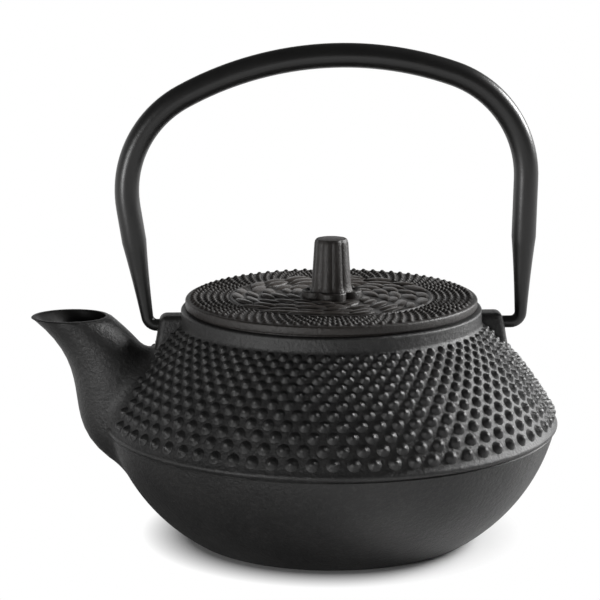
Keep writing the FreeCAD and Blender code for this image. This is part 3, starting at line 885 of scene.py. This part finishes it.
def lid_mesh():
    """The turned plate with its rows of small nails and its rings of uneven leaves."""
    lid = turned_solid(lid_outline(), LID_STEPS)
    for row in range(LID_ROWS):
        reach = LID_FIRST_ROW - LID_ROW_STEP * row
        radius = LID_NAIL_SHARE * 2 * math.pi * reach / LID_NAILS
        shift = 0.5 * (row % 2)
        add_mesh(lid, ring_of_domes(radius, LID_NAIL_RISE * radius, LID_NAIL_SIDES, reach, LID_GROUND, 0.0,
                                    LID_NAILS, shift))
    leaves = bmesh.new()
    draw = random.Random(LEAF_SEED)
    for row, count in enumerate(LEAF_RINGS):
        reach = LEAF_FIRST_RING - LEAF_RING_STEP * row
        step = 2 * math.pi / count
        for number in range(count):
            turn = step * (number + 0.5 * (row % 2) + draw.uniform(-LEAF_STRAY, LEAF_STRAY))
            length = step * reach * draw.uniform(*LEAF_LENGTH)
            width = draw.uniform(*LEAF_WIDTH)
            height = draw.uniform(*LEAF_HEIGHT)
            off = draw.uniform(-LEAF_OFF, LEAF_OFF)
            leaf(leaves, length, width, height, reach + off, turn, draw.uniform(*LEAF_TWIST), LEAF_LEVEL)
    bmesh.ops.recalc_face_normals(leaves, faces=leaves.faces)
    for face in leaves.faces:
        face.material_index = 1
    add_mesh(lid, leaves)
    return lid


lid_iron = sand_cast("lid_iron", dark=(0.011, 0.0088, 0.0075, 1), light=(0.031, 0.0255, 0.022, 1),
                     worn_and_shading=(0.026, 0.0215, 0.0185, 1), grain_depth=0.6, smoothing=-0.12)
# The leaves' tops turn a light brown: rubbed wear together with painted highlight
leaf_iron = sand_cast("leaf_iron", dark=(0.012, 0.0096, 0.0082, 1), light=(0.036, 0.0295, 0.0255, 1),
                      worn_and_shading=(0.062, 0.0525, 0.046, 1), grain_depth=0.4, smoothing=0.14)
finish_piece("lid", lid_mesh(), "lid", ["lid_plate"], [lid_iron, leaf_iron])


# Knob seat: a cast washer in the shape of a plum flower. It lies loose on the lid until the knob's tang
# is put through it, and one of its five dished petals points to the front.
SEAT_TOP = 78.0
PETALS = 5
PETAL_REACH = 9.6
PETAL_NOTCH = 7.4
PETAL_POINTS = 14
KNOB_FLAT = 6.2


def lobed_circle(mesh, lobes, reach, notch, level, turn, points):
    """A ring of outward arcs, meeting at the notch radius."""
    circle = bmesh.ops.create_circle(mesh, segments=lobes * points, radius=MM)
    edges = set()
    half = math.pi / lobes
    # Each arc's own circle, from the three places it passes through
    span = notch * math.sin(half)
    rise = reach - notch * math.cos(half)
    radius = (span ** 2 + rise ** 2) / (2 * rise)
    for index, vert in enumerate(circle["verts"]):
        step = index % points / points * 2 - 1
        arc = step * math.asin(span / radius)
        local = Vector((reach - radius + radius * math.cos(arc), radius * math.sin(arc), 0))
        lobe = index // points
        vert.co = (Matrix.Rotation(turn + 2 * half * lobe, 3, "Z") @ local + Vector((0, 0, level))) * MM
        edges.update(vert.link_edges)
    return list(edges)


def flower_seat():
    """Rim, dished petals and the flat that the knob stands on."""
    mesh = bmesh.new()
    front = -math.pi / 2
    # Reach, notch and level of each ring, from the hole's foot outwards, up the rim and back over the petals
    rings = [
        (TANG_HOLE, TANG_HOLE, LID_TOP),
        (PETAL_REACH, PETAL_NOTCH, LID_TOP),
        (PETAL_REACH, PETAL_NOTCH, SEAT_TOP - 0.4),
        (PETAL_REACH - 0.15, PETAL_NOTCH - 0.1, SEAT_TOP - 0.1),
        (PETAL_REACH - 0.45, PETAL_NOTCH - 0.3, SEAT_TOP),
        (PETAL_REACH - 0.9, PETAL_NOTCH - 0.4, SEAT_TOP - 0.15),
        (PETAL_REACH - 1.7, PETAL_NOTCH - 0.6, SEAT_TOP - 0.55),
        (PETAL_REACH - 2.9, PETAL_NOTCH - 0.8, SEAT_TOP - 0.5),
        (KNOB_FLAT + 0.2, KNOB_FLAT + 0.15, SEAT_TOP - 0.1),
        (KNOB_FLAT, KNOB_FLAT - 0.05, SEAT_TOP),
        (TANG_HOLE, TANG_HOLE, SEAT_TOP),
    ]
    loops = [lobed_circle(mesh, PETALS, reach, notch, level, front, PETAL_POINTS)
             for reach, notch, level in rings]
    for low, high in zip(loops, loops[1:] + loops[:1]):
        bmesh.ops.bridge_loops(mesh, edges=low + high)
    bmesh.ops.recalc_face_normals(mesh, faces=mesh.faces)
    return mesh


finish_piece("flower_seat", flower_seat(), "lid", ["knob_seat"], [lid_iron], crease=50)


# Knob: a fluted, slightly tapered iron stud with a round tang below, which goes through seat and lid
# and is peened over the washer underneath.
FLUTES = 10
FLUTE_POINTS = 8
KNOB_TOP = 94.0
TANG = 2.0
PEEN = 3.2
PEEN_LOW = 70.6
PEEN_TOP = 71.8
TANG_STEPS = 32


def fluted_knob():
    """The stud from its flared foot to its soft top edge, and the tang with its peened head."""
    mesh = bmesh.new()
    # Reach, groove and level of each ring
    rings = [
        (6.6, 6.45, SEAT_TOP - 0.2),
        (6.35, 6.0, SEAT_TOP + 0.5),
        (6.15, 5.72, SEAT_TOP + 1.5),
        (5.3, 4.92, KNOB_TOP - 1.4),
        (5.1, 4.85, KNOB_TOP - 0.6),
        (4.7, 4.55, KNOB_TOP - 0.1),
        (4.2, 4.15, KNOB_TOP),
    ]
    loops = [lobed_circle(mesh, FLUTES, reach, notch, level, 0.0, FLUTE_POINTS)
             for reach, notch, level in rings]
    for low, high in zip(loops, loops[1:]):
        bmesh.ops.bridge_loops(mesh, edges=low + high)
    bmesh.ops.contextual_create(mesh, geom=loops[0])
    bmesh.ops.contextual_create(mesh, geom=loops[-1])
    bmesh.ops.recalc_face_normals(mesh, faces=mesh.faces)
    tang = [(0, PEEN_LOW), (PEEN / 2, PEEN_LOW), (PEEN - 0.6, PEEN_LOW + 0.3), (PEEN, PEEN_TOP - 0.3),
            (PEEN, PEEN_TOP), (TANG, PEEN_TOP), (TANG, SEAT_TOP + 0.2), (0, SEAT_TOP + 0.2)]
    add_mesh(mesh, turned_solid(tang, TANG_STEPS))
    return mesh


finish_piece("knob", fluted_knob(), "lid", ["lid_knob"], [lid_iron], crease=28)


# Washer: a plain stamped steel disc under the lid. The tang goes through it and is peened over it,
# which holds knob, seat and lid together.
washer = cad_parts["knob_washer"]
washer.data.materials.clear()
washer.data.materials.append(steel)


# Studio: a pale floor that fades into a white backdrop, one large soft lamp from the right and behind,
# and a weaker one low in front at the left.
# Metres from the pot's axis over which the camera, and a reflection, see the floor turn white
CAMERA_FADE = (0.046, 0.06)
MIRROR_FADE = (0.15, 0.4)
LAMPS_LOOK_AT = Vector((0, 0, 0.06))


def ray_kinds(shade):
    """Three switches that are one for rays from the camera, in a reflection and through a clear piece."""
    kinds = ("Is Camera Ray", "Is Glossy Ray", "Is Transmission Ray")
    return [shade.node("ShaderNodeLightPath", output=kind) for kind in kinds]


def studio_floor():
    """Paper that keeps the shadow close round the base and fades to plain white further out."""
    mesh = bmesh.new()
    bmesh.ops.create_grid(mesh, x_segments=1, y_segments=1, size=4)
    floor = as_object("floor", mesh)
    material, surface, shade = new_finish("floor_paper")
    place = shade.node("ShaderNodeTexCoord", output=3)
    tooth = noise(shade, place, 300, 2)
    feed(surface, Base_Color=tooth.mix((0.86, 0.86, 0.86, 1), (0.9, 0.9, 0.9, 1)), Roughness=0.8)
    seen, mirrored, passed = ray_kinds(shade)
    distance = shade.node("ShaderNodeVectorMath", {"operation": "LENGTH"}, {0: place}, output=1)
    white = shade.node("ShaderNodeEmission", None, {"Color": (1, 1, 1, 1), "Strength": 1.0})
    shown = seen * distance.between(*CAMERA_FADE) + (mirrored + passed) * distance.between(*MIRROR_FADE)
    paper = Shade(material.node_tree, surface.outputs[0])
    whole = shade.node("ShaderNodeMixShader", None, {0: shown, 1: paper, 2: white})
    output = material.node_tree.nodes["Material Output"]
    material.node_tree.links.new(whole.socket, output.inputs["Surface"])
    floor.data.materials.append(material)


def studio_world(ambient):
    """A white backdrop for the camera, and a dim even light for everything else."""
    world = bpy.data.worlds.new("studio")
    world.use_nodes = True
    bpy.context.scene.world = world
    shade = Shade(world.node_tree)
    seen, mirrored, passed = ray_kinds(shade)
    dim = shade.node("ShaderNodeBackground", None, {"Color": (1, 1, 1, 1), "Strength": ambient})
    white = shade.node("ShaderNodeBackground", None, {"Color": (1, 1, 1, 1), "Strength": 1.0})
    # Reflections see the white backdrop behind and beside the pot, and a dark room above and in front
    way = shade.node("ShaderNodeTexCoord", output=0)
    upward = shade.node("ShaderNodeSeparateXYZ", None, {0: way}, output=2)
    backward = shade.node("ShaderNodeSeparateXYZ", None, {0: way}, output=1)
    backdrop = upward.between(0.5, 0.1) * backward.between(-0.5, 0.2)
    shown = seen + (mirrored + passed) * backdrop
    whole = shade.node("ShaderNodeMixShader", None, {0: shown, 1: dim, 2: white})
    world.node_tree.links.new(whole.socket, world.node_tree.nodes["World Output"].inputs["Surface"])


def lamp(name, place, size, power):
    """A square soft lamp that looks at the middle of the pot."""
    light = bpy.data.lights.new(name, "AREA")
    light.size = size
    light.energy = power
    holder = bpy.data.objects.new(name, light)
    holder.location = place
    holder.rotation_euler = (LAMPS_LOOK_AT - Vector(place)).to_track_quat("-Z", "Y").to_euler()
    bpy.context.scene.collection.objects.link(holder)


studio_floor()
studio_world(ambient=0.1)
lamp("key", place=(0.85, 0.3, 0.48), size=0.4, power=16)
lamp("fill", place=(-0.75, -0.72, 0.08), size=0.3, power=6)

# Camera: the photograph's view, from a little above the lid and a little to the spout's side.
# Angles, distance and focal length come from fitting the pot's outline in a square picture.
AZIMUTH = math.radians(-3)
PAN = math.radians(0.748)
TILT = math.radians(11.523)
ROLL = math.radians(-0.107)
DISTANCE = 0.75
HEIGHT = 0.2273
FOCAL_PIXELS = 2449
PICTURE_PIXELS = 600
camera_data = bpy.data.cameras.new("camera")
camera_data.sensor_width = 36
camera_data.lens = FOCAL_PIXELS / PICTURE_PIXELS * camera_data.sensor_width
camera = bpy.data.objects.new("camera", camera_data)
stand = Matrix.Translation((math.sin(AZIMUTH) * DISTANCE, -math.cos(AZIMUTH) * DISTANCE, HEIGHT))
heading = Matrix.Rotation(AZIMUTH + PAN, 4, "Z")
pitch_down = Matrix.Rotation(math.pi / 2 - TILT, 4, "X")
camera.matrix_world = stand @ heading @ pitch_down @ Matrix.Rotation(ROLL, 4, "Z")
bpy.context.scene.collection.objects.link(camera)
bpy.context.scene.camera = camera
bpy.context.scene.view_settings.view_transform = "Standard"
